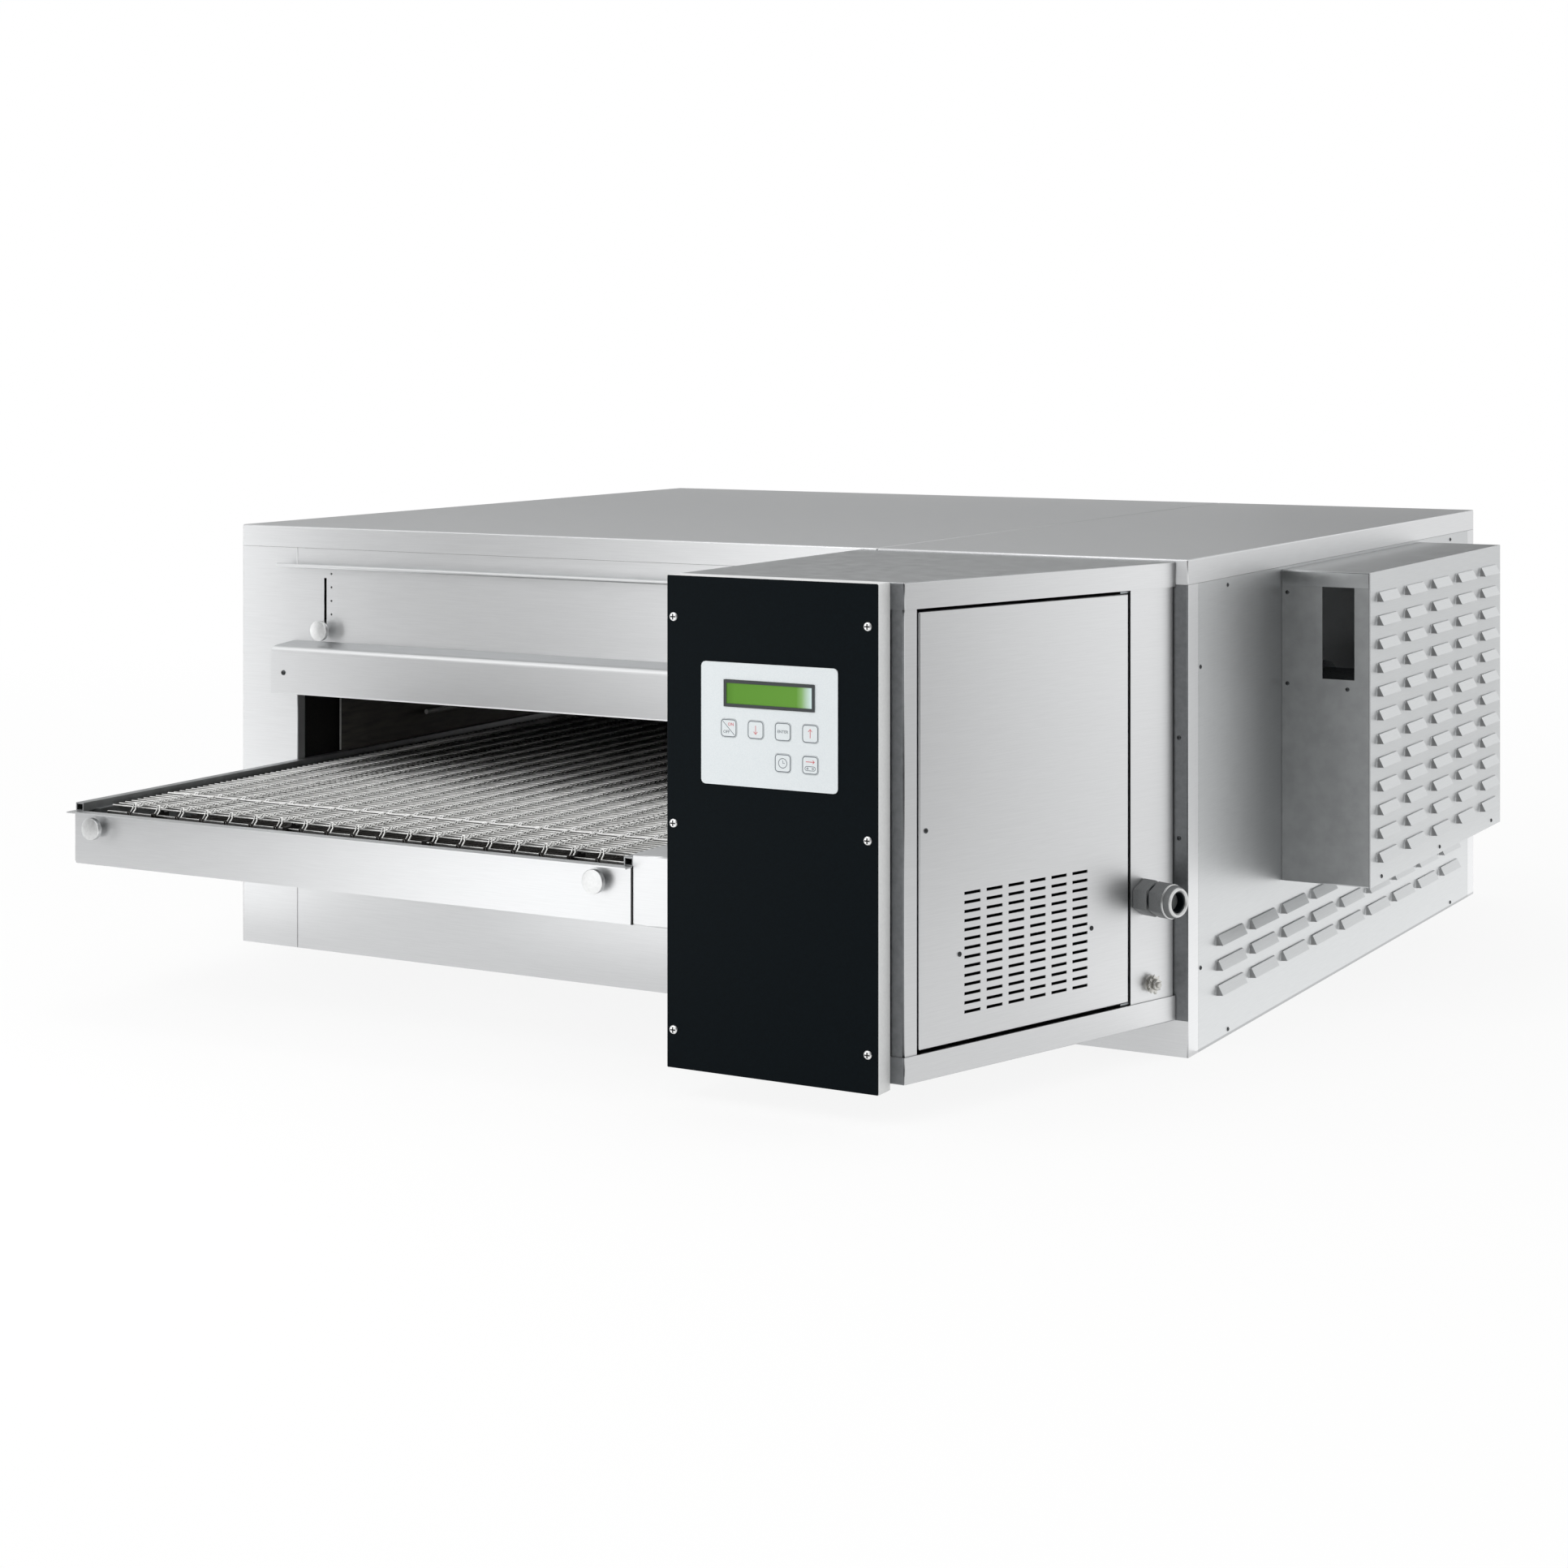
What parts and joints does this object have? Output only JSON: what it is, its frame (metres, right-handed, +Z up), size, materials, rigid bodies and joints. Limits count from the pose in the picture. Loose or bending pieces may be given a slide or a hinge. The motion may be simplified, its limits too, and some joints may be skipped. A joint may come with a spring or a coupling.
{
  "type": "conveyor pizza oven",
  "caption": "Conveyor pizza oven: wire belt through a stainless casing with sliding visors, crumb drawers, louvred motor cover and a side control cabinet with keypad.",
  "frame": {"origin": "middle of the casing's base, on the surface it stands on", "axes": "+X across the belt towards the fan motors, +Y along the belt away from the control panel, +Z up"},
  "size_m": [1.4862, 2.0424, 0.565],
  "materials": {
    "stainless": "brushed stainless sheet",
    "galvanised": "galvanised sheet",
    "steel_wire": "bright drawn steel",
    "mineral_wool": "matt fibre",
    "cast_aluminium": "cast",
    "black_enamel": "satin black",
    "turned_steel": "turned stainless",
    "grey_plastic": "moulded",
    "keypad_film": "satin film",
    "display_glass": "green display",
    "brass": "plain"
  },
  "bodies": {
    "oven": {"base_pan": "stainless", "left_side_panel": "stainless", "right_side_panel": "stainless", "left_top_cover": "stainless", "right_top_cover": "stainless", "front_left_post": "stainless", "rear_left_post": "stainless", "front_right_panel": "stainless", "rear_right_panel": "stainless", "front_upper_panel": "stainless", "rear_upper_panel": "stainless", "front_lower_panel": "stainless", "rear_lower_panel": "stainless", "baking_hood": "stainless", "lower_diffuser": "stainless", "motor_cover": "stainless", "louvre_panel": "stainless", "left_rail": "stainless", "right_rail": "stainless", "belt_carrier": "stainless", "drive_cover": "stainless", "cabinet_walls": "stainless", "cabinet_cap": "stainless", "cabinet_base": "stainless", "door_hinge": "galvanised", "mesh_belt": "steel_wire", "heating_elements": "steel_wire", "drive_chain": "steel_wire", "insulation": "mineral_wool", "front_fan_motor": "cast_aluminium", "rear_fan_motor": "cast_aluminium", "gear_motor": "cast_aluminium", "control_panel": "black_enamel", "cable_gland": "grey_plastic", "electric_gear": "grey_plastic", "keypad_plate": "keypad_film", "display_window": "display_glass", "earth_terminal": "brass"},
    "front_visor": {"front_visor": "stainless", "front_shutter_knob": "turned_steel"},
    "rear_visor": {"rear_visor": "stainless", "rear_shutter_knob": "turned_steel"},
    "front_drawer": {"front_drawer": "stainless", "front_left_drawer_knob": "turned_steel", "front_right_drawer_knob": "turned_steel"},
    "rear_drawer": {"rear_drawer": "stainless", "rear_left_drawer_knob": "turned_steel", "rear_right_drawer_knob": "turned_steel"},
    "drive_shaft": {"drive_shaft": "steel_wire"},
    "idler_shaft": {"idler_shaft": "steel_wire"},
    "motor_sprocket": {"motor_sprocket": "steel_wire"},
    "front_fan": {"front_fan": "galvanised"},
    "rear_fan": {"rear_fan": "galvanised"},
    "cabinet_door": {"cabinet_door": "stainless"},
    "key_power": {"key_power": "keypad_film"},
    "key_down": {"key_down": "keypad_film"},
    "key_enter": {"key_enter": "keypad_film"},
    "key_up": {"key_up": "keypad_film"},
    "key_timer": {"key_timer": "keypad_film"},
    "key_belt": {"key_belt": "keypad_film"}
  },
  "joints": [
    {"name": "front_visor_slide", "type": "slide", "parent": "oven", "child": "front_visor", "axis": [0, 0, 1], "range_m": [0, 0.057]},
    {"name": "front_drawer_slide", "type": "slide", "parent": "oven", "child": "front_drawer", "axis": [0, -1, 0], "range_m": [0, 0.4]},
    {"name": "rear_visor_slide", "type": "slide", "parent": "oven", "child": "rear_visor", "axis": [0, 0, 1], "range_m": [0, 0.057]},
    {"name": "rear_drawer_slide", "type": "slide", "parent": "oven", "child": "rear_drawer", "axis": [0, 1, 0], "range_m": [0, 0.4]},
    {"name": "drive_shaft_spin", "type": "hinge", "parent": "oven", "child": "drive_shaft", "pos_m": [0, -0.9652, 0.23], "axis": [1, 0, 0], "continuous": true},
    {"name": "idler_shaft_spin", "type": "hinge", "parent": "oven", "child": "idler_shaft", "pos_m": [0, 0.9652, 0.23], "axis": [1, 0, 0], "continuous": true},
    {"name": "motor_sprocket_spin", "type": "hinge", "parent": "oven", "child": "motor_sprocket", "pos_m": [0, -0.8152, 0.23], "axis": [1, 0, 0], "continuous": true},
    {"name": "front_fan_spin", "type": "hinge", "parent": "oven", "child": "front_fan", "pos_m": [0.5, -0.11855, 0.3425], "axis": [1, 0, 0], "continuous": true},
    {"name": "rear_fan_spin", "type": "hinge", "parent": "oven", "child": "rear_fan", "pos_m": [0.5, 0.16745, 0.3425], "axis": [1, 0, 0], "continuous": true},
    {"name": "door_hinge_turn", "type": "hinge", "parent": "oven", "child": "cabinet_door", "pos_m": [0.63398, -0.65576, 0.3], "axis": [0, 0, 1], "range_deg": [0, 90]},
    {"name": "key_power_press", "type": "slide", "parent": "oven", "child": "key_power", "axis": [0, 1, 0], "range_m": [0, 0.0005], "stiffness_N_per_m": 600},
    {"name": "key_down_press", "type": "slide", "parent": "oven", "child": "key_down", "axis": [0, 1, 0], "range_m": [0, 0.0005], "stiffness_N_per_m": 600},
    {"name": "key_enter_press", "type": "slide", "parent": "oven", "child": "key_enter", "axis": [0, 1, 0], "range_m": [0, 0.0005], "stiffness_N_per_m": 600},
    {"name": "key_up_press", "type": "slide", "parent": "oven", "child": "key_up", "axis": [0, 1, 0], "range_m": [0, 0.0005], "stiffness_N_per_m": 600},
    {"name": "key_timer_press", "type": "slide", "parent": "oven", "child": "key_timer", "axis": [0, 1, 0], "range_m": [0, 0.0005], "stiffness_N_per_m": 600},
    {"name": "key_belt_press", "type": "slide", "parent": "oven", "child": "key_belt", "axis": [0, 1, 0], "range_m": [0, 0.0005], "stiffness_N_per_m": 600}
  ],
  "couplings": [
    {"joint": "idler_shaft_spin", "follows": "drive_shaft_spin", "ratio": 1},
    {"joint": "motor_sprocket_spin", "follows": "drive_shaft_spin", "ratio": 1}
  ]
}
